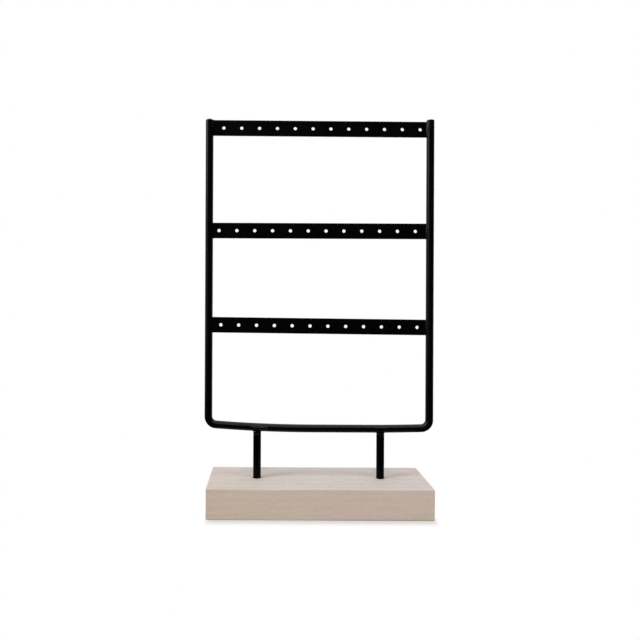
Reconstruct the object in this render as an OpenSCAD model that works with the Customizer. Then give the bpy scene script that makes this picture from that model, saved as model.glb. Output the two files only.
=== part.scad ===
// Earring display stand: a frame bent from one round rod carries three flat bars punched with
// rows of small holes, and two short posts hold the frame up on a wooden block.
// Millimetres. +Z is up, the front faces -Y, and the origin is on the block's underside, midway
// between the posts.

/* [Base block] */
// Width of the wooden block
base_w = 166; // [140:1:200]
// Depth of the wooden block, front to back
base_d = 55; // [40:1:80]
// Height of the wooden block
base_h = 22.5; // [20:0.5:32]
// Shift of the block to the right of the posts' middle
base_shift = -1; // [-3:0.1:3]
// Radius of the block's eased edges
base_edge_r = 0.6; // [0.3:0.1:2]

/* [Frame rod] */
// Diameter of the round rod
rod_d = 6; // [5:0.5:8]
// Distance between the axes of the two uprights
frame_w = 170; // [140:1:200]
// Height of the rail's axis above the block, along its straight stretch
rail_rise = 37.9; // [25:0.1:60]
// Radius of the two corner bends, at the rod's axis
corner_r = 6.4; // [5:0.1:15]
// How much the rod's radius swells in a corner bend
bend_swell = 0.03; // [0.02:0.01:0.2]
// Distance from the middle to where the rail starts to sweep up on the left
left_flat = 5; // [0:1:40]
// Radius of the slow sweep on the left
left_sweep_r = 1000; // [500:50:3000]
// Distance from the middle to where the rail starts to sweep up on the right
right_flat = 38; // [0:1:40]
// Radius of the slow sweep on the right
right_sweep_r = 1450; // [500:50:3000]
// How far the left upright stands above the end of the top bar
left_tip = 1.2; // [0.8:0.1:10]
// How far the right upright stands above the end of the top bar
right_tip = 1.4; // [0.8:0.1:10]
// Radius of the crown that the left upright's cut end was ground to
left_crown_r = 4; // [3.6:0.1:8]
// Radius of the edge round the right upright's cut end
right_edge_r = 0.8; // [0.2:0.1:2]

/* [Bars] */
// Height of a bar's flat face
bar_h = 12; // [8:0.5:20]
// Thickness of a bar
bar_t = 1.5; // [1:0.1:3]
// Radius of the bars' long edges
bar_edge_r = 0.3; // [0.1:0.05:0.45]
// Height of the bottom bar's middle above the rail's axis
bottom_bar_z = 78.8; // [50:0.1:100]
// Height of the middle bar's middle above the rail's axis
middle_bar_z = 152; // [125:0.1:180]
// Height of the top bar's middle above the rail's axis
top_bar_z = 230.6; // [205:0.1:260]
// How many degrees the bottom bar was welded out of level, with its right end low
bottom_tilt = 0.5; // [-0.8:0.05:0.8]
// How many degrees the middle bar was welded out of level, with its right end low
middle_tilt = 0; // [-0.8:0.05:0.8]
// How many degrees the top bar was welded out of level, with its right end low
top_tilt = 0.25; // [-0.8:0.05:0.8]

/* [Earring holes] */
// Diameter of a hole
hole_d = 2.5; // [1.5:0.1:5]
// Distance from one hole to the next
hole_pitch = 13.73; // [8:0.01:20]
// Least distance from an end hole to the rod, on a row with no shift
hole_margin = 5; // [4:0.5:10]
// Shift of the top row to the right
top_shift = 1.5; // [-2:0.1:2]
// Shift of the middle row to the right
middle_shift = -1.9; // [-2:0.1:2]
// Shift of the bottom row to the right
bottom_shift = -0.2; // [-2:0.1:2]

/* [Posts] */
// Diameter of a post
post_d = 6; // [5:0.5:8]
// Distance between the axes of the two posts
post_spacing = 94.8; // [60:0.1:120]
// Depth of a post in its socket
post_seat = 12; // [8:0.5:14]
// Clearance round a post in its socket
post_clear = 0.1; // [0.05:0.05:0.5]
// How far a post's cupped end reaches up the side of the rod
post_cup = 1.8; // [1:0.1:2.2]

/* [Screws] */
// Diameter of a screw's thread
screw_d = 4; // [3:0.5:4]
// Length of thread that is inside a post
thread_reach = 7; // [5:0.5:10]
// Chamfer on the end of a screw
screw_chamfer = 0.4; // [0.2:0.1:0.6]
// Depth of the tapped hole past the screw's end
tap_spare = 1.5; // [0.5:0.5:5]
// Clearance round a screw's thread in its post
thread_clear = 0.05; // [0.02:0.01:0.1]
// Clearance round a screw's thread in the block
screw_hole_clear = 0.25; // [0.1:0.05:1]
// Diameter of a screw's head
head_d = 7.6; // [6.5:0.1:9]
// Height of a screw's domed head
head_h = 2.2; // [1.8:0.1:3]
// Width of a head's six-sided socket, across its flats
key_w = 2.5; // [2:0.1:3]
// Depth of a head's six-sided socket
key_depth = 1.3; // [0.8:0.1:1.5]
// Clearance round a screw's head in its counterbore
head_clear = 0.7; // [0.2:0.1:2]
// Depth of a counterbore
counterbore_h = 3.5; // [2.5:0.5:5]

/* [Welds] */
// Radius of a bar's weld bead at its middle
bead_r = 0.95; // [0.6:0.05:1.5]
// Radius of a bar's weld bead at its ends
bead_end_r = 0.4; // [0.2:0.05:0.5]
// How far a bead stops short of the bar's rounded edges
bead_short = 0.2; // [0.1:0.1:2]
// Radius of the weld on top of the top bar, at its left end
cap_weld_r = 1.1; // [0.9:0.1:1.5]
// How far that weld's middle lies under the bar's upper edge
cap_weld_sink = 0.6; // [0.2:0.1:0.8]
// Thickness of a post's weld on the rail
post_weld_t = 0.5; // [0.3:0.1:1]
// Radius of the round patch that a post's weld makes on each side of the rail
post_weld_r = 3.8; // [3.7:0.1:4]
// How far the middle of that patch lies under the rail's axis
post_weld_drop = 1.3; // [1.1:0.1:1.5]

/* [Hidden] */
$fn = 96;
rod_r = rod_d / 2;
post_r = post_d / 2;
upright_x = frame_w / 2;
post_x = post_spacing / 2;
rail_z = base_h + rail_rise;

// The rail turns through this angle in each sweep, and the corner bend takes the rest of 90
left_turn = asin((upright_x - left_flat - corner_r) / (left_sweep_r - corner_r));
right_turn = asin((upright_x - right_flat - corner_r) / (right_sweep_r - corner_r));
// Height of each corner bend's centre, which is where its upright starts
left_corner_z = rail_z + left_sweep_r - (left_sweep_r - corner_r) * cos(left_turn);
right_corner_z = rail_z + right_sweep_r - (right_sweep_r - corner_r) * cos(right_turn);

// Each bar's height at its middle
top_z = rail_z + top_bar_z;
middle_z = rail_z + middle_bar_z;
bottom_z = rail_z + bottom_bar_z;
left_top_z = end_z(-1, top_z, top_tilt) + bar_h / 2 + left_tip;
right_top_z = end_z(1, top_z, top_tilt) + bar_h / 2 + right_tip;

bar_run = frame_w - rod_d;
hole_count = floor((bar_run - 2 * hole_margin) / hole_pitch) + 1;
// Where a bar's face meets the side of an upright
face_meets_x = upright_x - sqrt(pow(rod_r, 2) - pow(bar_t / 2, 2));

socket_floor_z = base_h - post_seat;
screw_l = socket_floor_z - counterbore_h + thread_reach;

// A bead is the side of a large circle turned about its own line
bead_half = bar_h / 2 - bar_edge_r - bead_short;
bead_bulge = bead_r - bead_end_r;
bead_arc_r = (pow(bead_half, 2) + pow(bead_bulge, 2)) / (2 * bead_bulge);

// How far a cut runs past the face that it opens
cut_past = 1;
// How far the rail and the uprights run on inside a corner bend
bend_lap = 0.3;
// How far a weld stays from the rod that it lies on
weld_fit = 0.05;
// Length of straight rod that a post's weld is fitted to
saddle_l = 3 * rod_d;
// Fragments of a full turn for the long slow curves
sweep_fn = 720;

metal_colour = [0.05, 0.05, 0.05];
wood_colour = [0.82, 0.76, 0.7];
screw_colour = [0.55, 0.55, 0.56];

// Height of a bar's middle line where it meets an upright, on the left (-1) or the right (1)
function end_z(side, z, tilt) = z - side * (upright_x - rod_r) * tan(tilt);

// Height of the rail's axis at a place along it
function rail_axis_z(x) =
    x < -left_flat ? rail_z + left_sweep_r - sqrt(pow(left_sweep_r, 2) - pow(x + left_flat, 2)) :
    x > right_flat ? rail_z + right_sweep_r - sqrt(pow(right_sweep_r, 2) - pow(x - right_flat, 2)) :
    rail_z;

// How steeply, in degrees, the rail falls to the right at a place along it
function rail_slope(x) =
    x < -left_flat ? asin((-x - left_flat) / left_sweep_r) :
    x > right_flat ? -asin((x - right_flat) / right_sweep_r) :
    0;

// The turn, in degrees, of the rail's run inside a corner bend
function lap_turn(sweep_r) = bend_lap / sweep_r * 180 / PI;

// Rectangle with round corners, centred on the origin
module rounded_rect(w, h, r) {
    square([w - 2 * r, h], center = true);
    square([w, h - 2 * r], center = true);
    for (x = [-1, 1], y = [-1, 1])
        translate([x * (w / 2 - r), y * (h / 2 - r)])
            circle(r = r);
}

// One stretch of bent rod in the frame's plane, round a centre at x and z
module bend(x, z, bend_r, from, turn, r) {
    translate([x, 0, z])
        rotate([90, 0, 0])
            rotate([0, 0, from])
                rotate_extrude(angle = turn)
                    translate([bend_r, 0])
                        circle(r = r);
}

// The rail with its two slow sweeps, at any thickness of rod. It runs on a little inside each
// corner bend.
module rail(r) {
    translate([-left_flat, 0, rail_z])
        rotate([0, 90, 0])
            cylinder(r = r, h = left_flat + right_flat);
    bend(right_flat, rail_z + right_sweep_r, right_sweep_r, 270, right_turn + lap_turn(right_sweep_r),
         r, $fn = sweep_fn);
    mirror([1, 0, 0])
        bend(left_flat, rail_z + left_sweep_r, left_sweep_r, 270, left_turn + lap_turn(left_sweep_r),
             r, $fn = sweep_fn);
}

// The two corner bends, where the rod swells a little
module corner_bends() {
    bend(upright_x - corner_r, right_corner_z, corner_r, 270 + right_turn, 90 - right_turn,
         rod_r + bend_swell);
    mirror([1, 0, 0])
        bend(upright_x - corner_r, left_corner_z, corner_r, 270 + left_turn, 90 - left_turn,
             rod_r + bend_swell);
}

// The left upright, its cut end ground to a crown. It runs on a little inside its corner bend.
module left_upright() {
    length = left_top_z - left_corner_z + bend_lap;
    translate([-upright_x, 0, left_top_z - length])
        rotate_extrude() {
            square([rod_r, length - left_crown_r]);
            intersection() {
                translate([0, length - left_crown_r])
                    circle(r = left_crown_r);
                square([rod_r, length]);
            }
        }
}

// The right upright, its cut end flat with a round edge
module right_upright() {
    length = right_top_z - right_corner_z + bend_lap;
    translate([upright_x, 0, right_top_z - length])
        rotate_extrude() {
            square([rod_r, length - right_edge_r]);
            square([rod_r - right_edge_r, length]);
            intersection() {
                translate([rod_r - right_edge_r, length - right_edge_r])
                    circle(r = right_edge_r);
                square([rod_r, length]);
            }
        }
}

// The space that both uprights fill, with a gap round them, for what is fitted between them
module upright_space(gap) {
    for (side = [-1, 1])
        translate([side * upright_x, 0, rail_z])
            cylinder(r = rod_r + gap, h = top_bar_z + bar_h);
}

module base_block() {
    color(wood_colour)
        difference() {
            translate([base_shift, 0, base_h / 2])
                intersection() {
                    linear_extrude(height = base_h, center = true)
                        rounded_rect(base_w, base_d, base_edge_r);
                    rotate([90, 0, 0])
                        linear_extrude(height = base_d, center = true)
                            rounded_rect(base_w, base_h, base_edge_r);
                    rotate([90, 0, 90])
                        linear_extrude(height = base_w, center = true)
                            rounded_rect(base_d, base_h, base_edge_r);
                }
            for (side = [-1, 1])
                translate([side * post_x, 0, 0]) {
                    translate([0, 0, socket_floor_z])
                        cylinder(r = post_r + post_clear, h = post_seat + cut_past);
                    translate([0, 0, counterbore_h - cut_past])
                        cylinder(d = screw_d + 2 * screw_hole_clear,
                                 h = socket_floor_z - counterbore_h + 2 * cut_past);
                    translate([0, 0, -cut_past])
                        cylinder(d = head_d + 2 * head_clear, h = counterbore_h + cut_past);
                }
        }
}

module frame_rod() {
    color(metal_colour) {
        rail(rod_r);
        corner_bends();
        left_upright();
        right_upright();
    }
}

// A flat bar with no holes, fitted between the uprights
module bar_blank(z, tilt) {
    difference() {
        translate([0, 0, z])
            rotate([0, tilt, 0])
                rotate([90, 0, 90])
                    linear_extrude(height = frame_w, center = true)
                        rounded_rect(bar_t, bar_h, bar_edge_r);
        upright_space(0);
    }
}

// A bar with its row of holes, which is shifted as it was punched
module bar(z, tilt, shift) {
    color(metal_colour)
        difference() {
            bar_blank(z, tilt);
            translate([0, 0, z])
                rotate([0, tilt, 0])
                    for (i = [0 : hole_count - 1])
                        translate([shift + (i - (hole_count - 1) / 2) * hole_pitch, 0, 0])
                            rotate([90, 0, 0])
                                cylinder(d = hole_d, h = bar_t + 2 * cut_past, center = true);
        }
}

module bar_top() { bar(top_z, top_tilt, top_shift); }
module bar_middle() { bar(middle_z, middle_tilt, middle_shift); }
module bar_bottom() { bar(bottom_z, bottom_tilt, bottom_shift); }

// A post from its socket up to the rail, cupped to the rod and tapped from below
module post(x) {
    color(metal_colour)
        difference() {
            translate([x, 0, socket_floor_z])
                cylinder(r = post_r, h = rail_axis_z(x) - rod_r + post_cup - socket_floor_z);
            rail(rod_r);
            translate([x, 0, socket_floor_z - cut_past])
                cylinder(d = screw_d + 2 * thread_clear, h = thread_reach + tap_spare + cut_past);
        }
}

module post_left() { post(-post_x); }
module post_right() { post(post_x); }

// The pair of beads, front and back, that holds one end of a bar, and any further drop of weld
module bar_weld(side, z, tilt) {
    color(metal_colour)
        difference() {
            union() {
                for (face = [-1, 1])
                    translate([side * face_meets_x, face * bar_t / 2, end_z(side, z, tilt)])
                        rotate_extrude()
                            intersection() {
                                translate([bead_r - bead_arc_r, 0])
                                    circle(r = bead_arc_r, $fn = sweep_fn);
                                translate([0, -bead_half])
                                    square([bead_r, 2 * bead_half]);
                            }
                children();
            }
            upright_space(weld_fit);
            bar_blank(z, tilt);
        }
}

module weld_top_left() {
    bar_weld(-1, top_z, top_tilt)
        translate([-upright_x + rod_r, 0, end_z(-1, top_z, top_tilt) + bar_h / 2 - cap_weld_sink])
            sphere(r = cap_weld_r);
}

module weld_top_right() { bar_weld(1, top_z, top_tilt); }
module weld_middle_left() { bar_weld(-1, middle_z, middle_tilt); }
module weld_middle_right() { bar_weld(1, middle_z, middle_tilt); }
module weld_bottom_left() { bar_weld(-1, bottom_z, bottom_tilt); }
module weld_bottom_right() { bar_weld(1, bottom_z, bottom_tilt); }

// A short length of rail where a post meets it, at any thickness of rod
module rail_at(x, r) {
    translate([x, 0, rail_axis_z(x)])
        rotate([0, 90 + rail_slope(x), 0])
            cylinder(r = r, h = saddle_l, center = true);
}

// The weld between a post and the rail, which wraps the rail's underside and both its sides
module post_weld(x) {
    color(metal_colour)
        difference() {
            intersection() {
                translate([x, 0, rail_axis_z(x) - post_weld_drop])
                    rotate([90, 0, 0])
                        cylinder(r = post_weld_r, h = 2 * rod_d, center = true);
                rail_at(x, rod_r + post_weld_t);
            }
            rail_at(x, rod_r + weld_fit);
            translate([x, 0, rail_axis_z(x) - rod_d])
                cylinder(r = post_r, h = rod_r + post_cup);
        }
}

module weld_post_left() { post_weld(-post_x); }
module weld_post_right() { post_weld(post_x); }

// A button-head screw, driven up through the block into a post
module screw(x) {
    dome_r = (pow(head_d / 2, 2) + pow(head_h, 2)) / (2 * head_h);
    color(screw_colour)
        translate([x, 0, counterbore_h])
            difference() {
                rotate_extrude() {
                    polygon([
                        [0, 0], [screw_d / 2, 0], [screw_d / 2, screw_l - screw_chamfer],
                        [screw_d / 2 - screw_chamfer, screw_l], [0, screw_l]
                    ]);
                    intersection() {
                        translate([0, dome_r - head_h])
                            circle(r = dome_r);
                        translate([0, -head_h])
                            square([head_d / 2, head_h]);
                    }
                }
                translate([0, 0, -head_h - cut_past])
                    cylinder(d = key_w / cos(30), h = key_depth + cut_past, $fn = 6);
            }
}

module screw_left() { screw(-post_x); }
module screw_right() { screw(post_x); }

base_block();
frame_rod();
bar_top();
bar_middle();
bar_bottom();
post_left();
post_right();
weld_top_left();
weld_top_right();
weld_middle_left();
weld_middle_right();
weld_bottom_left();
weld_bottom_right();
weld_post_left();
weld_post_right();
screw_left();
screw_right();
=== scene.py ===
import math

import bmesh
import bpy
from mathutils import Matrix, Vector, noise


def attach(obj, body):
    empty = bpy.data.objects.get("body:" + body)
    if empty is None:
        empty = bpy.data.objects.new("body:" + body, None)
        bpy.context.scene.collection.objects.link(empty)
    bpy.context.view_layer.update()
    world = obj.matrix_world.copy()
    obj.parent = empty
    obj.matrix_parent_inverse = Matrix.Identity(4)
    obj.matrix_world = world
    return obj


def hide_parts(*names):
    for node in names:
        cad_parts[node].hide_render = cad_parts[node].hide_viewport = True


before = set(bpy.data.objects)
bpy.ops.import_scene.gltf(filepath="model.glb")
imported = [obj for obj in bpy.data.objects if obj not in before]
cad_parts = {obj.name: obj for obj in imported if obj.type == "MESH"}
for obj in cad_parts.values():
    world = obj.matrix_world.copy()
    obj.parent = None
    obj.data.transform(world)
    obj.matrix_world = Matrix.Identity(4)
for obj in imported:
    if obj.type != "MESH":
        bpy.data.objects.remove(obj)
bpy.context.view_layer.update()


# The camera stands a little left of the stand's middle and a little above its bottom bar. It looks
# level and straight on, rolled a quarter of a degree, and its lens is shifted to take in the whole
# stand, so the uprights stay upright in the picture.
CAMERA_PLACE = (-0.0386, -0.4466, 0.1614)
CAMERA_ROLL = -0.0045
SENSOR_WIDTH, LENS_LENGTH = 36, 32.625
LENS_SHIFT = (0.0794, -0.0359)


def added(name, data):
    """A new object in the scene."""
    made = bpy.data.objects.new(name, data)
    bpy.context.scene.collection.objects.link(made)
    return made


camera = added("camera", bpy.data.cameras.new("camera"))
bpy.context.scene.camera = camera
camera.location = CAMERA_PLACE
camera.rotation_euler = (math.radians(90), CAMERA_ROLL, 0)
camera.data.sensor_width, camera.data.lens = SENSOR_WIDTH, LENS_LENGTH
camera.data.shift_x, camera.data.shift_y = LENS_SHIFT


# The frame is one length of 6 mm round steel rod, bent cold over a former at two corners and drawn
# to a slow sweep along the rail. The left tip was ground to a crown, the right one only deburred.
# It is powder-coated with what is welded to it. Its sizes, as all the stand's, are in millimetres.
LEFT, RIGHT = -1, 1
SIDES = {LEFT: "left", RIGHT: "right"}
ROD_R = 3.0
UPRIGHT_X = 85.0
RAIL_Z = 60.4
RAIL_FLAT = {LEFT: 5.0, RIGHT: 38.0}
RAIL_SWEEP = {LEFT: 1000.0, RIGHT: 1450.0}
CORNER_R, CORNER_SWELL = 6.4, 0.03
BAR_H, BAR_END = 12.0, UPRIGHT_X - ROD_R
TOP_BAR_Z, TOP_BAR_TILT = RAIL_Z + 230.6, math.radians(0.25)
TIP_OVER_BAR = {LEFT: 1.2, RIGHT: 1.4}
TIP_DEPTH = {LEFT: 2.5, RIGHT: 1.6}
CROWN = [(0.02, 0), (0.6, 0.045), (1.2, 0.184), (1.8, 0.428), (2.3, 0.727), (2.65, 1.0), (2.88, 1.25),
         (2.975, 1.42), (ROD_R, 1.62)]
CROWN_EDGE = 2.9
DEBURR_R = 0.5
SAWN_FACE = [(1.6, 0.0), (0.9, 0.02), (0.02, 0.03)]
TIP_RUB, TIP_EDGE_RUB = 0.8, 0.3
STRAIGHT_STEPS, CORNER_STEPS, DEBURR_STEPS, ROD_SIDES = 60, 20, 6, 56
FRAME_GLOSS = 0.2
FINE_RELIEF = 0.00006
MM_PER_METRE = 1000


def grey(level):
    return (level, level, level)


def new_material(name):
    material = bpy.data.materials.new(name)
    material.use_nodes = True
    tree = material.node_tree
    return material, tree, tree.nodes["Principled BSDF"]


def node(tree, kind, settings=(), **inputs):
    """A shader node with its settings and inputs. An input is a value or another node's output, and
    goes by its socket's name, with _ for a space, or by the socket's number, as _2 for the third."""
    made = tree.nodes.new(kind)
    for key, value in dict(settings).items():
        setattr(made, key, value)
    for key, value in inputs.items():
        socket = made.inputs[int(key[1:]) if key[1:].isdigit() else key.replace("_", " ")]
        if isinstance(value, bpy.types.NodeSocket):
            tree.links.new(value, socket)
        elif socket.type == "RGBA":
            socket.default_value = (*value, 1)
        else:
            socket.default_value = value
    return made


def ramp(tree, value, stops):
    """The colour that a value picks from a row of stops, each a place from 0 to 1 and a colour."""
    made = node(tree, "ShaderNodeValToRGB", Fac=value)
    bar = made.color_ramp
    while len(bar.elements) < len(stops):
        bar.elements.new(0.5)
    for element, (place, colour) in zip(bar.elements, stops):
        element.position = place
        element.color = (*colour, 1)
    return made.outputs["Color"]


def mottle(tree, place, scale, detail, **more):
    """Soft noise from 0 to 1, with about `scale` spots to a metre."""
    made = node(tree, "ShaderNodeTexNoise", Vector=place, Scale=scale, Detail=detail, **more)
    return made.outputs["Fac"]


def maths(tree, operation, *values):
    """One step of arithmetic on numbers."""
    numbered = {f"_{k}": value for k, value in enumerate(values)}
    return node(tree, "ShaderNodeMath", {"operation": operation}, **numbered).outputs["Value"]


def mixed(tree, share, first, second, blend="MIX"):
    """The first colour, blended with the second by a share."""
    settings = {"data_type": "RGBA", "blend_type": blend}
    return node(tree, "ShaderNodeMix", settings, _0=share, _6=first, _7=second).outputs[2]


def fade(tree, value, start, end, low, high, curve="LINEAR"):
    """A number that goes from low to high while a value goes from start to end."""
    made = node(tree, "ShaderNodeMapRange", {"interpolation_type": curve}, Value=value,
                From_Min=start, From_Max=end, To_Min=low, To_Max=high)
    return made.outputs["Result"]


def dress(tree, shader, colour, roughness, relief, strength, depth):
    """Gives a shader its colour, its roughness and a bump that follows the relief."""
    bump = node(tree, "ShaderNodeBump", Strength=strength, Distance=depth, Height=relief)
    tree.links.new(colour, shader.inputs["Base Color"])
    tree.links.new(roughness, shader.inputs["Roughness"])
    tree.links.new(bump.outputs["Normal"], shader.inputs["Normal"])


def powder_coat(name, gloss):
    """Near black and satin, with the fine orange peel of baked powder. Where the attribute "rubbed"
    is 1, as on rims and tips, the coat is thin and polished."""
    material, tree, shader = new_material(name)
    place = node(tree, "ShaderNodeTexCoord").outputs["Object"]
    blotch = mottle(tree, place, 55, 3)
    peel = mottle(tree, place, 1500, 2)
    grit = mottle(tree, place, 5200, 1)
    rubbed = node(tree, "ShaderNodeAttribute", {"attribute_name": "rubbed"}).outputs["Fac"]
    coat = ramp(tree, blotch, [(0.3, grey(0.0004)), (0.7, grey(0.0008))])
    colour = mixed(tree, rubbed, coat, grey(0.002))
    rough = fade(tree, blotch, 0.3, 0.7, 0.22, 0.28)
    polished = maths(tree, "MULTIPLY_ADD", rubbed, -0.03, rough)
    relief = maths(tree, "MULTIPLY_ADD", grit, 0.35, peel)
    dress(tree, shader, colour, polished, relief, 0.5, FINE_RELIEF)
    shader.inputs["Specular IOR Level"].default_value = gloss
    return material


BLACK = powder_coat("black_powder_coat", FRAME_GLOSS)


def spread(first, last, count):
    """Evenly spaced numbers from first to last, with `count` steps between them."""
    return [first + (last - first) * k / count for k in range(count + 1)]


def tube_faces(rings, sides):
    """The faces of a tube of rings, closed at both ends."""
    faces = []
    for i in range(rings - 1):
        for k in range(sides):
            n = (k + 1) % sides
            faces.append((i * sides + k, i * sides + n, (i + 1) * sides + n, (i + 1) * sides + k))
    faces.append(tuple(range(sides - 1, -1, -1)))
    faces.append(tuple((rings - 1) * sides + k for k in range(sides)))
    return faces


def closed_mesh(name, points, faces):
    """A mesh with its faces outward."""
    mesh = bpy.data.meshes.new(name)
    mesh.from_pydata(points, [], faces)
    mesh.validate()
    shell = bmesh.new()
    shell.from_mesh(mesh)
    bmesh.ops.recalc_face_normals(shell, faces=shell.faces)
    shell.to_mesh(mesh)
    shell.free()
    return mesh


def coated_piece(name, stands_for, points, faces, rubbed=None):
    """A shape in millimetres becomes a piece of the coated steelwork, in metres."""
    mesh = closed_mesh(name, [tuple(c / MM_PER_METRE for c in p) for p in points], faces)
    if rubbed is not None:
        layer = mesh.attributes.new("rubbed", "FLOAT", "POINT")
        layer.data.foreach_set("value", rubbed)
    mesh.materials.append(BLACK)
    mesh.shade_smooth()
    made = added(name, mesh)
    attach(made, "root")
    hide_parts(stands_for)
    return made


def side_of(x):
    return LEFT if x < 0 else RIGHT


def rail_turn(x):
    """The rail's angle at x: level near the middle, then turning along that side's sweep."""
    side = side_of(x)
    return side * math.asin(max(0, abs(x) - RAIL_FLAT[side]) / RAIL_SWEEP[side])


def rail_axis_z(x):
    return RAIL_Z + RAIL_SWEEP[side_of(x)] * (1 - math.cos(rail_turn(x)))


def rail_end(side):
    """Where a corner bend takes over from the rail: the rail's angle and x, and the bend's centre z."""
    flat, sweep = RAIL_FLAT[side], RAIL_SWEEP[side]
    turn = math.asin((UPRIGHT_X - flat - CORNER_R) / (sweep - CORNER_R))
    bend_z = RAIL_Z + sweep - (sweep - CORNER_R) * math.cos(turn)
    return turn, side * (flat + sweep * math.sin(turn)), bend_z


def tip_z(side):
    """The height of an upright's tip, a little over its end of the top bar."""
    return TOP_BAR_Z - side * BAR_END * math.tan(TOP_BAR_TILT) + BAR_H / 2 + TIP_OVER_BAR[side]


def crown_rings():
    """The left tip from its centre out, as radius, depth and rub: a ground crown, its edge eased."""
    return [(radius, depth, TIP_RUB if radius < CROWN_EDGE else TIP_EDGE_RUB) for radius, depth in CROWN]


def deburred_rings():
    """The right tip from its edge in: the edge rounded, the sawn face a little dished."""
    rings = []
    for share in spread(0, 1, DEBURR_STEPS)[1:]:
        a = math.pi / 2 * share
        rub = TIP_EDGE_RUB + (TIP_RUB - TIP_EDGE_RUB) * share
        rings.append((ROD_R - DEBURR_R * (1 - math.cos(a)), DEBURR_R * (1 - math.sin(a)), rub))
    return rings + [(radius, depth, TIP_RUB) for radius, depth in SAWN_FACE]


def upright(side, first_z, last_z, heading):
    """An upright's straight length, down or up."""
    return [(side * UPRIGHT_X, z, heading, ROD_R, 0.0) for z in spread(first_z, last_z, STRAIGHT_STEPS)]


def corner_bend(side, z, first, last):
    """A corner bend, anticlockwise from one angle to another, where the rod swells a little."""
    x = side * (UPRIGHT_X - CORNER_R)
    line = []
    for share in spread(0, 1, CORNER_STEPS)[1:-1]:
        a = first + (last - first) * share
        radius = ROD_R + CORNER_SWELL * min(1, 4 * share, 4 * (1 - share))
        line.append((x + CORNER_R * math.cos(a), z + CORNER_R * math.sin(a), a + math.pi / 2, radius, 0.0))
    return line


def frame_line():
    """The rod from its left tip to its right one: x, z, heading, radius and rub at each step."""
    down, up = -math.pi / 2, math.pi / 2
    left_turn, left_x, left_z = rail_end(LEFT)
    right_turn, right_x, right_z = rail_end(RIGHT)
    left_tip, right_tip = tip_z(LEFT), tip_z(RIGHT)
    line = [(-UPRIGHT_X, left_tip - depth, down, radius, rub) for radius, depth, rub in crown_rings()]
    line += upright(LEFT, left_tip - TIP_DEPTH[LEFT], left_z, down)
    line += corner_bend(LEFT, left_z, math.pi, math.pi * 3 / 2 - left_turn)
    line += [(x, rail_axis_z(x), rail_turn(x), ROD_R, 0.0) for x in spread(left_x, right_x, STRAIGHT_STEPS)]
    line += corner_bend(RIGHT, right_z, right_turn - math.pi / 2, 0)
    line += upright(RIGHT, right_z, right_tip - TIP_DEPTH[RIGHT], up)
    line += [(UPRIGHT_X, right_tip - depth, up, radius, rub) for radius, depth, rub in deburred_rings()]
    return line


def bent_rod(line):
    """A round rod along a line in the frame's plane: its points, its faces and how rubbed it is."""
    points, rubbed = [], []
    for x, z, heading, radius, rub in line:
        for k in range(ROD_SIDES):
            a = math.tau * k / ROD_SIDES
            out = math.cos(a) * radius
            points.append((x - math.sin(heading) * out, math.sin(a) * radius, z + math.cos(heading) * out))
            rubbed.append(rub)
    return points, tube_faces(len(line), ROD_SIDES), rubbed


coated_piece("bent_rod_frame", "frame_rod", *bent_rod(frame_line()))


# The three bars are 12 x 1.5 mm flat strip, their long edges rolled round, their holes punched in
# one stroke each and their ends coped to sit against the uprights.
# Each has its height, its tilt and how far its row of holes is off the middle.
BARS = {
    "top": (TOP_BAR_Z, TOP_BAR_TILT, 1.5),
    "middle": (RAIL_Z + 152.0, 0.0, -1.9),
    "bottom": (RAIL_Z + 78.8, math.radians(0.5), -0.2),
}
BAR_T, BAR_EDGE_R = 1.5, 0.3
FACE_H = BAR_H / 2 - BAR_EDGE_R
HOLE_R, HOLE_PITCH, HOLE_COUNT = 1.25, 13.73, 12
HOLE_RIM, HOLE_COLLAR = 0.22, 0.5
PATCH_HALF, PATCH_STEPS, PATCH_SHARES = 4.5, 8, (0, 0.35, 0.7)
STRIP_STEP, ARC_STEPS = 1.5, 4
HOLE_RUB, HOLE_EDGE_RUB = 1.0, 0.55
EDGE_RUBS = [0, 0.35] + [0.5] * (2 * ARC_STEPS - 2) + [0.35, 0]
BAR_SHARP_ANGLE = math.radians(50)
NEAR_END = 0.01


class Skin:
    """A mesh sewn from patches. Patches that meet share their corner points."""

    def __init__(self):
        self.mesh = bmesh.new()
        self.corners = {}
        self.rubbed = []

    def at(self, x, y, z, rub=0.0):
        place = (round(x, 4), round(y, 4), round(z, 4))
        if place not in self.corners:
            self.corners[place] = self.mesh.verts.new(place)
            self.rubbed.append(rub)
        return self.corners[place]

    def patch(self, *corners):
        self.mesh.faces.new(corners)

    def band(self, outer, inner):
        """Joins two rings of points that go the same way round."""
        for k in range(len(outer)):
            n = (k + 1) % len(outer)
            self.patch(outer[k], outer[n], inner[n], inner[k])

    def shape(self):
        """Its points and faces. The skin is done with after that."""
        self.mesh.verts.index_update()
        points = [tuple(v.co) for v in self.mesh.verts]
        faces = [tuple(v.index for v in face.verts) for face in self.mesh.faces]
        self.mesh.free()
        return points, faces


def square_ring(centre):
    """Points round a hole's square patch, anticlockwise from its lower left corner."""
    across = spread(centre - PATCH_HALF, centre + PATCH_HALF, PATCH_STEPS)
    levels = spread(-FACE_H, FACE_H, PATCH_STEPS)
    ring = [(x, -FACE_H) for x in across[:-1]]
    ring += [(centre + PATCH_HALF, h) for h in levels[:-1]]
    ring += [(x, FACE_H) for x in reversed(across[1:])]
    ring += [(centre - PATCH_HALF, h) for h in reversed(levels[1:])]
    return ring


def round_ring(centre, radius):
    """As many points round a hole, from the same corner."""
    count = 4 * PATCH_STEPS
    angles = [math.tau * (k / count - 3 / 8) for k in range(count)]
    return [(centre + radius * math.cos(a), radius * math.sin(a)) for a in angles]


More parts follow.
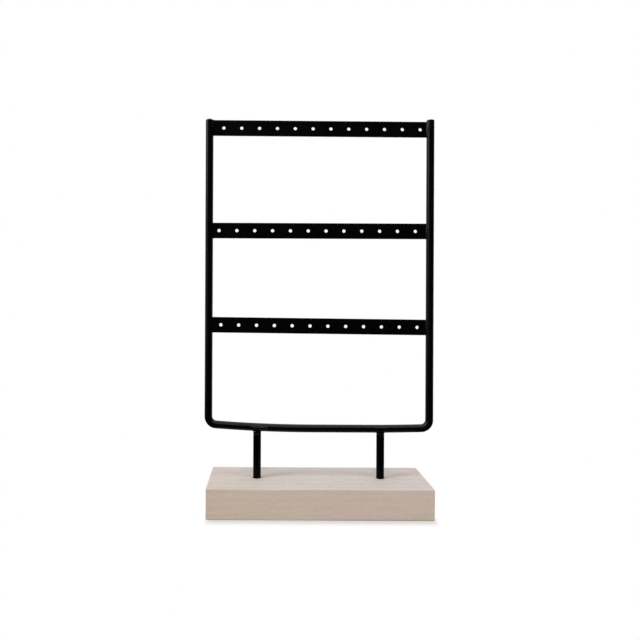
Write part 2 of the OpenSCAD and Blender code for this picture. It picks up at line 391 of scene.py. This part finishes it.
def hole_patch(skin, face, centre):
    """The bar's face round one hole, in to the end of its rolled rim. It gives that last ring."""
    collar = HOLE_R + HOLE_RIM + HOLE_COLLAR
    rings = []
    for share in PATCH_SHARES:
        pairs = zip(square_ring(centre), round_ring(centre, collar))
        rings.append([skin.at(x + (to_x - x) * share, face * BAR_T / 2, h + (to_h - h) * share)
                      for (x, h), (to_x, to_h) in pairs])
    sizes = [(collar, 0, 0.0), (HOLE_R + HOLE_RIM, 0, HOLE_EDGE_RUB)]
    for a in spread(0, math.pi / 2, ARC_STEPS)[1:]:
        sizes.append((HOLE_R + HOLE_RIM * (1 - math.sin(a)), HOLE_RIM * (1 - math.cos(a)), HOLE_RUB))
    for radius, depth, rub in sizes:
        y = face * (BAR_T / 2 - depth)
        rings.append([skin.at(x, y, h, rub) for x, h in round_ring(centre, radius)])
    for outer, inner in zip(rings, rings[1:]):
        skin.band(outer, inner)
    return rings[-1]


def plain_strip(skin, face, cuts):
    """The bar's face between two patches."""
    y = face * BAR_T / 2
    levels = spread(-FACE_H, FACE_H, PATCH_STEPS)
    for x0, x1 in zip(cuts, cuts[1:]):
        for h0, h1 in zip(levels, levels[1:]):
            skin.patch(skin.at(x0, y, h0), skin.at(x1, y, h0), skin.at(x1, y, h1), skin.at(x0, y, h1))


def rolled_edge(skin, side, cuts):
    """One long edge of the bar, rounded from its front face over to its back."""
    core = BAR_T / 2 - BAR_EDGE_R
    quarter = [(core + BAR_EDGE_R * math.cos(a), FACE_H + BAR_EDGE_R * math.sin(a))
               for a in spread(0, math.pi / 2, ARC_STEPS)]
    section = [(-y, h) for y, h in quarter] + quarter[::-1]
    edge = [(y, side * h, rub) for (y, h), rub in zip(section, EDGE_RUBS)]
    for x0, x1 in zip(cuts, cuts[1:]):
        for near, far in zip(edge, edge[1:]):
            skin.patch(skin.at(x0, *near), skin.at(x1, *near), skin.at(x1, *far), skin.at(x0, *far))


def close_end(skin, end):
    """Fills the open outline at one end of the bar."""
    rim = [e for e in skin.mesh.edges
           if e.is_boundary and all(abs(v.co.x - end) < NEAR_END for v in e.verts)]
    bmesh.ops.holes_fill(skin.mesh, edges=rim, sides=0)


def bar_skin(shift):
    """A punched bar, level and square-ended: patches round its holes and plain strips between."""
    skin = Skin()
    centres = [shift + (k - (HOLE_COUNT - 1) / 2) * HOLE_PITCH for k in range(HOLE_COUNT)]
    patches = [spread(c - PATCH_HALF, c + PATCH_HALF, PATCH_STEPS) for c in centres]
    starts = [-BAR_END] + [c + PATCH_HALF for c in centres]
    stops = [c - PATCH_HALF for c in centres] + [BAR_END]
    strips = [spread(a, b, max(1, round((b - a) / STRIP_STEP))) for a, b in zip(starts, stops)]
    for centre in centres:
        skin.band(hole_patch(skin, -1, centre), hole_patch(skin, 1, centre))
    for cuts in strips:
        plain_strip(skin, -1, cuts)
        plain_strip(skin, 1, cuts)
    all_cuts = sorted({round(x, 4) for cuts in patches + strips for x in cuts})
    rolled_edge(skin, -1, all_cuts)
    rolled_edge(skin, 1, all_cuts)
    close_end(skin, -BAR_END)
    close_end(skin, BAR_END)
    return skin


def coped_x(y):
    """How far from the middle an upright's inner side lies at the depth y."""
    return UPRIGHT_X - math.sqrt(ROD_R ** 2 - y ** 2)


def tilted_and_coped(points, z, tilt):
    """The bar's points in the stand, its ends drawn on to the uprights."""
    moved = []
    for along, y, up in points:
        x = along * math.cos(tilt) + up * math.sin(tilt)
        if abs(abs(along) - BAR_END) < NEAR_END:
            x = math.copysign(coped_x(y), along)
        moved.append((x, y, z - along * math.sin(tilt) + up * math.cos(tilt)))
    return moved


for row, (z, tilt, shift) in BARS.items():
    skin = bar_skin(shift)
    points, faces = skin.shape()
    points = tilted_and_coped(points, z, tilt)
    bar = coated_piece(f"{row}_punched_bar", f"bar_{row}", points, faces, skin.rubbed)
    bar.data.set_sharp_from_angle(angle=BAR_SHARP_ANGLE)


# Each end of a bar is held by two short beads of weld, front and back, laid in small overlapping
# drops and painted over. One more drop closes the top bar's upper left corner.
BEAD_ON_BAR, BEAD_ON_ROD = 0.85, 1.7
BEAD_SHORT = 0.2
BEAD_HALF = BAR_H / 2 - BAR_EDGE_R - BEAD_SHORT
BEAD_ENDS, BEAD_STUB = 0.4, 0.6
BEAD_DROPS, BEAD_RIPPLE, BEAD_WANDER = 3.4, 0.13, 0.03
BEAD_DRIFT, BEAD_CURVE = 0.07, 1.5
BEAD_SUNK, BEAD_ROOT = 0.06, 0.25
BEAD_STEPS, BEAD_ROUND = 72, 12
BEAD_SHARP_ANGLE = math.radians(60)
ROW_SEED_STEP, FACE_SEED_STEP = 2.3, 0.6
DROP_ROUGH, DROP_ROUGH_SCALE = 0.06, 2.2
CORNER_DROP, CORNER_DROP_SUNK, CORNER_DROP_SEED = 1.1, 0.6, 3


def bead(side, z, face, seed):
    """One bead in the corner between a bar's face and an upright, drop over drop."""
    corner_y = face * BAR_T / 2
    points = []
    for i, t in enumerate(spread(-1, 1, BEAD_STEPS)):
        drift = BEAD_DRIFT * noise.noise(Vector((t * 2, seed, 0)))
        drop = abs(math.sin(BEAD_DROPS * math.pi * (t + drift) + seed))
        wander = noise.noise(Vector((t * 3, seed, 5)))
        size = BEAD_ENDS + (1 - BEAD_ENDS) * (1 - t * t)
        size *= 1 - BEAD_RIPPLE * (1 - drop) - BEAD_WANDER * (1 - wander)
        if i in (0, BEAD_STEPS):
            size *= BEAD_STUB
        for k, a in enumerate(spread(0, math.pi / 2, BEAD_ROUND)):
            y = corner_y + face * BEAD_ON_ROD * size * math.sin(a) ** BEAD_CURVE
            x = coped_x(y) - BEAD_ON_BAR * size * math.cos(a) ** BEAD_CURVE
            into_bar = BEAD_SUNK if k == 0 else 0
            into_rod = BEAD_SUNK if k == BEAD_ROUND else 0
            points.append((side * (x + into_rod), y - face * into_bar, z + t * BEAD_HALF))
        root = (side * (coped_x(corner_y) + BEAD_ROOT), corner_y - face * BEAD_ROOT, z + t * BEAD_HALF)
        points.append(root)
    return points, tube_faces(BEAD_STEPS + 1, BEAD_ROUND + 2)


def joined(parts):
    """Several shapes as one."""
    points, faces = [], []
    for part_points, part_faces in parts:
        base = len(points)
        points += part_points
        faces += [tuple(base + k for k in face) for face in part_faces]
    return points, faces


def drop_of_weld(x, y, z, size, seed):
    """A round drop of weld with an uneven skin."""
    ball = bmesh.new()
    bmesh.ops.create_icosphere(ball, subdivisions=4, radius=1)
    points = []
    for v in ball.verts:
        rough = noise.noise(v.co * DROP_ROUGH_SCALE + Vector((seed, 0, 0)))
        reach = size * (1 - DROP_ROUGH * (1 - rough))
        points.append((x + v.co.x * reach, y + v.co.y * reach, z + v.co.z * reach))
    faces = [tuple(v.index for v in face.verts) for face in ball.faces]
    ball.free()
    return points, faces


for number, (row, (z, tilt, _)) in enumerate(BARS.items()):
    for side, word in SIDES.items():
        end_z = z - side * BAR_END * math.tan(tilt)
        row_seed = ROW_SEED_STEP * number + side
        parts = [bead(side, end_z, face, row_seed + FACE_SEED_STEP * face) for face in (-1, 1)]
        if (row, side) == ("top", LEFT):
            drop_z = end_z + BAR_H / 2 - CORNER_DROP_SUNK
            parts.append(drop_of_weld(-BAR_END, 0, drop_z, CORNER_DROP, CORNER_DROP_SEED))
        weld = coated_piece(f"{row}_bar_{word}_weld", f"weld_{row}_{word}", *joined(parts))
        weld.data.set_sharp_from_angle(angle=BEAD_SHARP_ANGLE)


# Two posts of the same rod stand in sockets in the block. Each is cupped to the rail above, and
# only its straight length shows, so the turned shape is kept as it is and painted. Their coat is
# duller than the frame's: the picture shows hardly any light in it.
POST_GLOSS = 0.06


def finish_kept_piece(name, material):
    """Gives a piece that keeps its shape nothing but its finish."""
    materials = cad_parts[name].data.materials
    materials.clear()
    materials.append(material)


DULL_BLACK = powder_coat("dull_black_powder_coat", POST_GLOSS)
for word in SIDES.values():
    finish_kept_piece(f"post_{word}", DULL_BLACK)


# Where a post meets the rail the weld wraps the rail's underside and both its sides in a rough
# patch of overlapping drops, brushed flat a little and painted over. On the left it was laid
# thicker, and a run of more drops goes on from it along the rail's front.
POST_X = 47.4
WELD_ALONG, WELD_ROUND, WELD_LOW = 6.0, 3.8, 1.3
WELD_SKIN, WELD_ROUGH, WELD_SUNK, WELD_ROOT = 0.1, 0.03, 0.12, 0.35
WELD_BARE = 0.02
WELD_LUMP = {LEFT: 0.42, RIGHT: 0.14}
WELD_ARC = 150
WELD_COLUMNS, WELD_ROWS = 88, 112
BACK_SPACING = 0.93
PATCH_SEED, RUN_SEED = 4, 8
# Drops in the patch, given one by one: place along the rail, level from its axis, and radius.
PATCH_DROPS = [
    (-5.1, 0.4, 0.8), (-4.6, -0.9, 0.9), (-3.9, 0.7, 0.85), (-3.4, -0.4, 0.9), (-2.7, 0.9, 0.8),
    (-2.2, -0.1, 0.85), (-1.5, 1.2, 0.85), (-0.9, 0.3, 0.8), (-0.2, 1.3, 0.75), (0.4, 0.2, 0.85),
    (1.1, 1.2, 0.8), (1.8, 0.4, 0.9), (2.6, 0.9, 0.75), (3.1, -0.2, 0.85), (3.9, 0.5, 0.85),
    (4.5, -0.7, 0.8), (5.0, 0.3, 0.7), (-3.0, -1.7, 0.95), (-1.6, -1.3, 0.9), (-0.3, -1.0, 0.95),
    (1.2, -1.2, 0.95), (2.5, -1.6, 0.9), (-2.5, -2.6, 0.8), (2.4, -2.7, 0.8), (0.1, -2.3, 0.9),
]
# Drops that stand clear of the patch: x from the post, y, height over the rail's axis, and radius.
RUN_DROPS = {
    LEFT: [(-1.2, -1.9, -3.9, 1.9), (0.5, -2.3, -4.9, 1.2), (-2.8, -2.2, -0.1, 1.45),
           (-1.6, -2.25, -0.35, 1.6), (-0.3, -2.25, -0.45, 1.7), (1.0, -2.2, -0.4, 1.75),
           (2.3, -2.2, -0.5, 1.7), (3.6, -2.2, -0.35, 1.7), (4.9, -2.2, -0.35, 1.6),
           (6.2, -2.2, -0.05, 1.5), (7.4, -2.2, 0.35, 1.3)],
    RIGHT: [(-1.6, -2.0, -3.6, 1.3), (0.2, -2.3, -4.6, 1.0), (1.2, -2.2, -3.7, 0.9)],
}


def drops_height(x, level, back):
    """How high the highest drop stands at a place on the patch, from 0 to 1."""
    height = 0.0
    for drop_x, drop_level, size in PATCH_DROPS:
        along = x + drop_x * BACK_SPACING if back else x - drop_x
        away = math.hypot(along, level - drop_level) / size
        height = max(height, math.sqrt(max(0.0, 1 - away * away)))
    return height


def weld_lift(x, a, seed, lump):
    """How far the patch stands off the rail, x along it and at the angle a round from its underside."""
    level = -ROD_R * math.cos(a)
    reach = math.hypot(x / WELD_ALONG, (level + WELD_LOW) / WELD_ROUND)
    cover = max(0.0, 1 - reach ** 3)
    rough = WELD_ROUGH * noise.noise(Vector((x * 1.4, a * 3.5, seed)))
    lift = cover * (WELD_SKIN + lump * drops_height(x, level, a >= 0) + rough)
    return lift - (WELD_SUNK if cover < WELD_BARE else 0)


def weld_patch(middle, seed, lump):
    """The patch round the rail over a post: an outer skin, an inner one in the rail, and their rim."""
    turn, z = rail_turn(middle), rail_axis_z(middle)
    angles = [math.radians(degrees) for degrees in spread(-WELD_ARC, WELD_ARC, WELD_ROWS)]
    outer, inner = [], []
    for x in spread(-WELD_ALONG, WELD_ALONG, WELD_COLUMNS):
        for a in angles:
            lift = weld_lift(x, a, seed, lump)
            for layer, radius in ((outer, ROD_R + lift), (inner, ROD_R - WELD_ROOT)):
                up = -radius * math.cos(a)
                layer.append((middle + x * math.cos(turn) - up * math.sin(turn), radius * math.sin(a),
                              z + x * math.sin(turn) + up * math.cos(turn)))
    stride, sheet = WELD_ROWS + 1, len(outer)
    faces = []
    for i in range(WELD_COLUMNS):
        for k in range(WELD_ROWS):
            a = i * stride + k
            faces.append((a, a + stride, a + stride + 1, a + 1))
            faces.append((sheet + a, sheet + a + 1, sheet + a + stride + 1, sheet + a + stride))
    rim = [(i, 0) for i in range(WELD_COLUMNS)] + [(WELD_COLUMNS, k) for k in range(WELD_ROWS)]
    rim += [(i, WELD_ROWS) for i in range(WELD_COLUMNS, 0, -1)] + [(0, k) for k in range(WELD_ROWS, 0, -1)]
    for (i, k), (m, n) in zip(rim, rim[1:] + rim[:1]):
        a, b = i * stride + k, m * stride + n
        faces.append((b, a, sheet + a, sheet + b))
    return outer + inner, faces


for side, word in SIDES.items():
    post_x = side * POST_X
    run = [drop_of_weld(post_x + dx, y, rail_axis_z(post_x + dx) + dz, size, RUN_SEED + side + dx)
           for dx, y, dz, size in RUN_DROPS[side]]
    weld = joined([weld_patch(post_x, PATCH_SEED + side, WELD_LUMP[side])] + run)
    coated_piece(f"{word}_post_weld", f"weld_post_{word}", *weld)


# The foot is one block of pale close-grained hardwood, planed, its edges eased by hand with
# sandpaper, bored from above for the posts and from below for their screws, and sealed matt.
BLOCK_W, BLOCK_D, BLOCK_H = 166.0, 55.0, 22.5
BLOCK_X = -1.0
PANEL = 4.0
EDGE_LINES, EDGE_ZONE = [0, 0.1, 0.2, 0.35, 0.5, 0.7, 0.95, 1.3], 2.5
EASE = 0.7
EASE_WANDER, EASE_WANDER_SPAN = 0.22, 23
EASE_RIPPLE, EASE_RIPPLE_SPAN = 0.08, 5
EASE_BELOW, EASE_BELOW_START, EASE_BELOW_SPAN = 0.3, -36, 60
SCREW_HEAD_R, SCREW_HEAD_DEPTH, SCREW_R = 4.5, 3.5, 2.25
SOCKET_R, SOCKET_FLOOR, SOCKET_EASE = 3.1, 10.5, 0.22
CUT_OVER, CUT_BEYOND = 0.04, 1.0
BORE_SIDES = 64
BLOCK_SHARP_ANGLE = math.radians(38)
WOOD_GLOSS = 0.25
SIDE_TONES = [(0.35, (0.557, 0.461, 0.386)), (0.55, (0.527, 0.431, 0.357)), (0.80, (0.473, 0.379, 0.309))]
# The top's tones are paler and greyer than the sides': a painted sheen, not the wood's own colour.
TOP_TONES_PAINTED_SHEEN = [(0.35, (0.650, 0.586, 0.548)), (0.55, (0.588, 0.521, 0.482)), (0.80, (0.490, 0.422, 0.388))]
CLOUD_TINTS = [(0.35, (0.985, 1.0, 0.98)), (0.65, (1.0, 0.985, 1.0))]
LENGTH_TINTS = [(0.0, (0.965, 0.945, 0.92)), (0.1, (0.985, 0.975, 0.965)), (0.28, (1.0, 1.0, 1.0)),
                (1.0, (1.0, 1.004, 1.015))]


def vector_maths(tree, operation, *values, result="Vector"):
    """One step of arithmetic on vectors."""
    numbered = {f"_{k}": value for k, value in enumerate(values)}
    return node(tree, "ShaderNodeVectorMath", {"operation": operation}, **numbered).outputs[result]


def axes(tree, vector):
    """The X, Y and Z of a vector."""
    return node(tree, "ShaderNodeSeparateXYZ", Vector=vector).outputs


def along_grain(tree, place, share, **more):
    """Places drawn in along the block's length, so that what is laid on them runs with the grain."""
    return node(tree, "ShaderNodeMapping", Vector=place, Scale=(share, 1, 1), **more).outputs["Vector"]


def pale_wood():
    """Growth rings, fibres and flecks along the block, warmer at its left end; painted sheen pales the top.
    """
    material, tree, shader = new_material("pale_wood")
    place = node(tree, "ShaderNodeTexCoord").outputs["Object"]
    sway = node(tree, "ShaderNodeTexNoise", Vector=place, Scale=9, Detail=1).outputs["Color"]
    bent = vector_maths(tree, "MULTIPLY_ADD", sway, (0, 0.004, 0.003), place)
    rings_at = along_grain(tree, bent, 0.02, Location=(0, -0.03, 0.055), Rotation=(0, 0, 0.03))
    wave = {"wave_type": "RINGS", "rings_direction": "X", "wave_profile": "SIN"}
    rings = node(tree, "ShaderNodeTexWave", wave, Vector=rings_at, Scale=75, Distortion=1.2, Detail=2,
                 Detail_Scale=1.5).outputs["Fac"]
    fibre_at = along_grain(tree, bent, 0.045)
    fibre = mottle(tree, fibre_at, 2400, 3, Roughness=0.6)
    streak = mottle(tree, fibre_at, 780, 2)
    fleck = mottle(tree, along_grain(tree, bent, 0.3), 1150, 1)
    cloud = mottle(tree, place, 24, 2)
    lines = maths(tree, "ADD", fibre, streak)
    flecks = maths(tree, "MULTIPLY_ADD", fleck, 0.45, -0.145)
    fine = maths(tree, "MULTIPLY_ADD", lines, 0.42, flecks)
    grain = maths(tree, "MULTIPLY_ADD", rings, 0.06, fine)
    facing = node(tree, "ShaderNodeNewGeometry").outputs["Normal"]
    side_tone, painted_sheen_top_tone = ramp(tree, grain, SIDE_TONES), ramp(tree, grain, TOP_TONES_PAINTED_SHEEN)
    # Faces turned up take the paler top tones: painted sheen.
    tone = mixed(tree, axes(tree, facing)["Z"], side_tone, painted_sheen_top_tone)
    clouded = mixed(tree, 1.0, tone, ramp(tree, cloud, CLOUD_TINTS), "MULTIPLY")
    left_end, right_end = ((BLOCK_X + side * BLOCK_W / 2) / MM_PER_METRE for side in (LEFT, RIGHT))
    length = fade(tree, axes(tree, place)["X"], left_end, right_end, 0, 1)
    colour = mixed(tree, 1.0, clouded, ramp(tree, length, LENGTH_TINTS), "MULTIPLY")
    rough = fade(tree, fibre, 0.3, 0.7, 0.66, 0.80)
    dress(tree, shader, colour, rough, fibre, 0.3, FINE_RELIEF)
    shader.inputs["Specular IOR Level"].default_value = WOOD_GLOSS
    return material


def panel_lines(half):
    """Places across the block, close together near its edges and a panel apart between them."""
    inner = 2 * (half - EDGE_ZONE)
    middle = spread(EDGE_ZONE, EDGE_ZONE + inner, max(1, round(inner / PANEL)))
    return [v - half for v in EDGE_LINES + middle] + [half - v for v in reversed(EDGE_LINES)]


def eased_block():
    """The block as a skin of fine panels. Its edges are rounded unevenly, the lower ones more so
    toward the right."""
    half = (BLOCK_W / 2, BLOCK_D / 2, BLOCK_H / 2)
    lines = [panel_lines(h) for h in half]
    skin = Skin()
    for axis in range(3):
        across, up = (axis + 1) % 3, (axis + 2) % 3
        for end in (-1, 1):
            for u0, u1 in zip(lines[across], lines[across][1:]):
                for v0, v1 in zip(lines[up], lines[up][1:]):
                    corners = []
                    for u, v in ((u0, v0), (u1, v0), (u1, v1), (u0, v1)):
                        place = [0, 0, 0]
                        place[axis], place[across], place[up] = end * half[axis], u, v
                        corners.append(skin.at(*place))
                    skin.patch(*corners[::end])
    for v in skin.mesh.verts:
        radius = EASE + EASE_WANDER * noise.noise(v.co / EASE_WANDER_SPAN)
        radius += EASE_RIPPLE * noise.noise(v.co / EASE_RIPPLE_SPAN)
        if v.co.z < 0:
            radius += EASE_BELOW * min(1, max(0, (v.co.x - EASE_BELOW_START) / EASE_BELOW_SPAN))
        inner = Vector([max(radius - h, min(h - radius, c)) for c, h in zip(v.co, half)])
        away = v.co - inner
        if sum(1 for c in away if abs(c) > 1e-6) > 1:
            v.co = inner + away.normalized() * radius
        v.co += Vector((BLOCK_X, 0, BLOCK_H / 2))
    return skin.shape()


def bore(x):
    """What is bored out for one post and its screw: counterbore, screw hole and eased socket."""
    mouth_r = SOCKET_R + SOCKET_EASE + CUT_OVER
    profile = [(SCREW_HEAD_R, -CUT_BEYOND), (SCREW_HEAD_R, SCREW_HEAD_DEPTH), (SCREW_R, SCREW_HEAD_DEPTH),
               (SCREW_R, SOCKET_FLOOR), (SOCKET_R, SOCKET_FLOOR), (SOCKET_R, BLOCK_H - SOCKET_EASE),
               (mouth_r, BLOCK_H + CUT_OVER), (mouth_r, BLOCK_H + CUT_BEYOND)]
    angles = [math.tau * (k + 0.5) / BORE_SIDES for k in range(BORE_SIDES)]
    points = [(x + radius * math.cos(a), radius * math.sin(a), z) for radius, z in profile for a in angles]
    return points, tube_faces(len(profile), BORE_SIDES)


def bored(block, tool):
    """The block's mesh with the tool's shape cut out of it."""
    cut = block.modifiers.new("bore", "BOOLEAN")
    cut.operation, cut.object, cut.solver = "DIFFERENCE", tool, "EXACT"
    bpy.context.view_layer.update()
    mesh = bpy.data.meshes.new_from_object(block.evaluated_get(bpy.context.evaluated_depsgraph_get()))
    block.modifiers.clear()
    return mesh


block = added("wooden_block", closed_mesh("wooden_block", *eased_block()))
for side in (LEFT, RIGHT):
    tool = added("bore", closed_mesh("bore", *bore(side * POST_X)))
    block.data = bored(block, tool)
    bpy.data.objects.remove(tool)
block.data.transform(Matrix.Scale(1 / MM_PER_METRE, 4))
block.data.materials.append(pale_wood())
block.data.shade_smooth()
block.data.set_sharp_from_angle(angle=BLOCK_SHARP_ANGLE)
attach(block, "root")
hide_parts("base_block")


# The screws are bright zinc-plated steel button heads, driven up from below through the block.
# They show only from underneath.
ZINC_TONES = [(0.3, (0.50, 0.51, 0.53)), (0.7, (0.60, 0.60, 0.61))]
ZINC_RELIEF = 0.00003


def zinc_plate():
    material, tree, shader = new_material("zinc_steel")
    place = node(tree, "ShaderNodeTexCoord").outputs["Object"]
    crystal = node(tree, "ShaderNodeTexVoronoi", Vector=place, Scale=900).outputs["Distance"]
    haze = mottle(tree, place, 400, 3)
    rough = fade(tree, crystal, 0, 1, 0.22, 0.42)
    dress(tree, shader, ramp(tree, haze, ZINC_TONES), rough, haze, 0.2, ZINC_RELIEF)
    shader.inputs["Metallic"].default_value = 1
    return material


ZINC = zinc_plate()
for word in SIDES.values():
    finish_kept_piece(f"screw_{word}", ZINC)


# A plain white floor in a soft studio. Two high lamps and a wider, lower one at the left light the
# stand, white paper hangs behind it, and the room in front is dark, as the black metal shows.
# Close round the block the floor is drawn darker, painted shade on its real shadow; both soon fade out.
FLOOR_HALF = 30
# The floor's grey to the eye is darker than the grey it lights things with: painted shade round the block.
FLOOR_SHOWN_PAINTED_SHADE, FLOOR_LIT = grey(0.72), grey(0.84)
FLOOR_ROUGHNESS, FLOOR_GLOSS = 0.9, 0.1
# The box round the block's foot where the floor keeps its shadow and the painted shade.
SHADE_MIDDLE, SHADE_HALF = (-0.0003, 0, 0), (0.0805, 0.0285, 0)
SHADE_FADE, SHADE_FASTER_AT_ENDS = 0.011, (2.2, 1, 0)
DARK_ROOM = 0.02
PLAIN_LIGHT = 0.78
OVERHEAD = 1.7
SOFT = "SMOOTHSTEP"
LAMPS_AIM = Vector((0, 0, 0.12))


def between(tree, share, first, second):
    """A number that goes from the first to the second by a share."""
    return node(tree, "ShaderNodeMix", _0=share, _2=first, _3=second).outputs[0]


def ray_kinds(tree):
    """Two switches: one for what the camera sees, one for what is seen in metal or through glass."""
    path = node(tree, "ShaderNodeLightPath").outputs
    return path["Is Camera Ray"], maths(tree, "MAXIMUM", path["Is Glossy Ray"], path["Is Transmission Ray"])


def past_painted_shade(tree, place):
    """From 0 close round the block, in its shadow and painted shade, to 1 where both have faded out."""
    size = vector_maths(tree, "ABSOLUTE", vector_maths(tree, "SUBTRACT", place, SHADE_MIDDLE))
    past = vector_maths(tree, "SUBTRACT", size, SHADE_HALF)
    past = vector_maths(tree, "MULTIPLY", past, SHADE_FASTER_AT_ENDS)
    past = vector_maths(tree, "MAXIMUM", past, (0, 0, 0))
    away = vector_maths(tree, "LENGTH", past, result="Value")
    return fade(tree, away, 0, SHADE_FADE, 0, 1, SOFT)


def white_floor():
    """White paper to the eye, but close round the block darker: painted shade over the shadow it takes.
    Metal shows it lit behind the stand and at the left only."""
    material, tree, shader = new_material("white_floor")
    shader.inputs["Roughness"].default_value = FLOOR_ROUGHNESS
    shader.inputs["Specular IOR Level"].default_value = FLOOR_GLOSS
    seen, mirrored = ray_kinds(tree)
    # Painted shade: the eye sees the floor in a darker grey than the light it gives back.
    tree.links.new(mixed(tree, seen, FLOOR_LIT, FLOOR_SHOWN_PAINTED_SHADE), shader.inputs["Base Color"])
    place = node(tree, "ShaderNodeTexCoord").outputs["Object"]
    x, y, _ = axes(tree, place)
    white = maths(tree, "MAXIMUM", maths(tree, "MULTIPLY", seen, past_painted_shade(tree, place)), mirrored)
    behind = fade(tree, y, 0.05, 0.4, DARK_ROOM, 1, SOFT)
    left = fade(tree, x, -1.1, -0.4, 0.4, DARK_ROOM, SOFT)
    strength = between(tree, mirrored, 1.0, maths(tree, "MAXIMUM", behind, left))
    paper = node(tree, "ShaderNodeEmission", Strength=strength).outputs[0]
    surface = node(tree, "ShaderNodeMixShader", _0=white, _1=shader.outputs[0], _2=paper).outputs[0]
    tree.links.new(surface, tree.nodes["Material Output"].inputs["Surface"])
    return material


def studio_world():
    """White to the eye, a plain light on matt finishes, and a part-lit room for what mirrors it."""
    world = bpy.data.worlds.new("studio")
    world.use_nodes = True
    tree = world.node_tree
    seen, mirrored = ray_kinds(tree)
    x, y, z = axes(tree, node(tree, "ShaderNodeTexCoord").outputs["Generated"])
    # The lit ceiling reaches down further a little left of the middle.
    lower = fade(tree, x, 0.06, -0.08, 0, 0.16, SOFT)
    within = fade(tree, x, -0.45, -0.2, 0, 1, SOFT)
    height = maths(tree, "MULTIPLY_ADD", lower, within, z)
    overhead = fade(tree, height, 0.5, 0.8, 0, OVERHEAD, SOFT)
    behind = fade(tree, y, 0.1, 0.5, DARK_ROOM, 1, SOFT)
    left = fade(tree, x, -0.8, -0.4, 0.45, DARK_ROOM, SOFT)
    room = maths(tree, "MAXIMUM", overhead, maths(tree, "MAXIMUM", left, behind))
    strength = between(tree, seen, between(tree, mirrored, PLAIN_LIGHT, room), 1.0)
    background = tree.nodes["Background"]
    tree.links.new(strength, background.inputs["Strength"])
    background.inputs["Color"].default_value = (1, 1, 1, 1)
    return world


def panel_lamp(name, azimuth, elevation, distance, width, height, power):
    """A soft lamp aimed at the stand. Azimuth is from the front toward the right, in degrees."""
    lamp = added(name, bpy.data.lights.new(name, "AREA"))
    lamp.data.shape = "RECTANGLE"
    lamp.data.size, lamp.data.size_y = width, height
    lamp.data.energy = power
    a, e = math.radians(azimuth), math.radians(elevation)
    away = Vector((math.sin(a) * math.cos(e), -math.cos(a) * math.cos(e), math.sin(e)))
    lamp.location = LAMPS_AIM + away * distance
    lamp.rotation_euler = away.to_track_quat("Z", "Y").to_euler()


floor_mesh = bpy.data.meshes.new("floor")
floor_corners = [(x * FLOOR_HALF, y * FLOOR_HALF, 0) for x, y in ((-1, -1), (1, -1), (1, 1), (-1, 1))]
floor_mesh.from_pydata(floor_corners, [], [(0, 1, 2, 3)])
floor_mesh.materials.append(white_floor())
floor = added("floor", floor_mesh)

bpy.context.scene.world = studio_world()
panel_lamp("left_high", azimuth=-63, elevation=53, distance=1.6, width=0.2, height=0.7, power=3.9)
panel_lamp("right_high", azimuth=60, elevation=55, distance=1.6, width=0.2, height=0.7, power=3.3)
panel_lamp("left_side", azimuth=-69, elevation=31, distance=1.4, width=0.4, height=0.9, power=5.6)

bpy.context.scene.view_settings.view_transform = "Standard"
